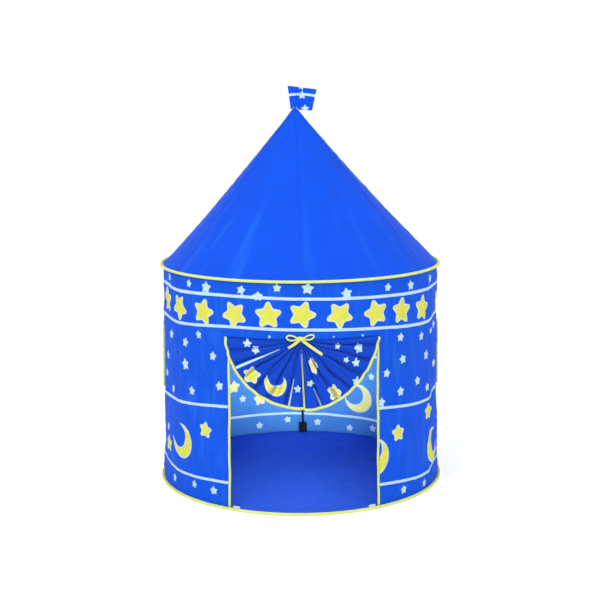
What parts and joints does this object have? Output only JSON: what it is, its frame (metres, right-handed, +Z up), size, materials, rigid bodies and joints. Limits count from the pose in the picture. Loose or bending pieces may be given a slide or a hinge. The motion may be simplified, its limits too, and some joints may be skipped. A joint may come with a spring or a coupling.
{
  "type": "kids play tent",
  "caption": "Round fabric play cabin with a cone roof, wire hoops at floor and eave, jointed poles, a tied door curtain and side net windows.",
  "frame": {"origin": "on the ground under the centre of the floor hoop", "axes": "+Z up; the door faces -Y; +X is to the right of someone who looks in through the door"},
  "size_m": [1.074, 1.074, 1.4672],
  "materials": {
    "roof_cloth": "plain woven polyester, slightly sheer",
    "wall_cloth": "printed woven polyester",
    "curtain_cloth": "printed woven polyester, gathered",
    "floor_cloth": "coated woven polyester",
    "yellow_tape": "woven binding tape",
    "spring_wire": "drawn spring wire",
    "black_pole": "drawn tube, satin",
    "black_fitting": "moulded, matt",
    "white_tab": "hook and loop tape",
    "blue_net": "open knitted net",
    "flag_cloth": "printed woven polyester"
  },
  "bodies": {
    "root": {"floor_panel": "floor_cloth", "floor_hoop": "spring_wire", "eave_hoop": "spring_wire", "floor_hoop_sleeve": "yellow_tape", "eave_hoop_sleeve": "yellow_tape", "front_wall_panel": "wall_cloth", "left_wall_panel": "wall_cloth", "right_wall_panel": "wall_cloth", "left_window_net": "blue_net", "right_window_net": "blue_net", "left_window_piping": "yellow_tape", "right_window_piping": "yellow_tape", "front_right_roof_gore": "roof_cloth", "right_roof_gore": "roof_cloth", "back_right_roof_gore": "roof_cloth", "back_left_roof_gore": "roof_cloth", "left_roof_gore": "roof_cloth", "front_left_roof_gore": "roof_cloth", "roof_peak_cap": "roof_cloth", "left_base_pocket": "black_fitting", "left_lower_pole": "black_pole", "left_ferrule": "black_fitting", "left_upper_pole": "black_pole", "left_eave_elbow": "black_fitting", "left_rafter": "black_pole", "right_base_pocket": "black_fitting", "right_lower_pole": "black_pole", "right_ferrule": "black_fitting", "right_upper_pole": "black_pole", "right_eave_elbow": "black_fitting", "right_rafter": "black_pole", "back_base_pocket": "black_fitting", "back_lower_pole": "black_pole", "back_ferrule": "black_fitting", "back_upper_pole": "black_pole", "back_eave_elbow": "black_fitting", "back_rafter": "black_pole", "crown_hub": "black_fitting", "flag_mast": "black_pole", "left_bow_loop": "yellow_tape", "left_door_binding": "yellow_tape", "left_door_tab": "white_tab", "right_bow_loop": "yellow_tape", "right_door_binding": "yellow_tape", "right_door_tab": "white_tab", "bow_knot": "yellow_tape"},
    "flag": {"flag": "flag_cloth"},
    "left_curtain": {"left_curtain": "curtain_cloth", "left_curtain_binding": "yellow_tape", "left_bow_tail": "yellow_tape"},
    "right_curtain": {"right_curtain": "curtain_cloth", "right_curtain_binding": "yellow_tape", "right_bow_tail": "yellow_tape"}
  },
  "joints": [
    {"name": "flag_turn", "type": "hinge", "parent": "root", "child": "flag", "pos_m": [-0.0155, 0, 1.39315], "axis": [0, 0, 1], "continuous": true},
    {"name": "left_curtain_swing", "type": "hinge", "parent": "root", "child": "left_curtain", "pos_m": [-0.14098, -0.50512, 0.616], "axis": [-0.9632, 0.2688, 0], "range_deg": [0, 60]},
    {"name": "right_curtain_swing", "type": "hinge", "parent": "root", "child": "right_curtain", "pos_m": [0.14098, -0.50512, 0.616], "axis": [-0.9632, -0.2688, 0], "range_deg": [0, 60]}
  ]
}
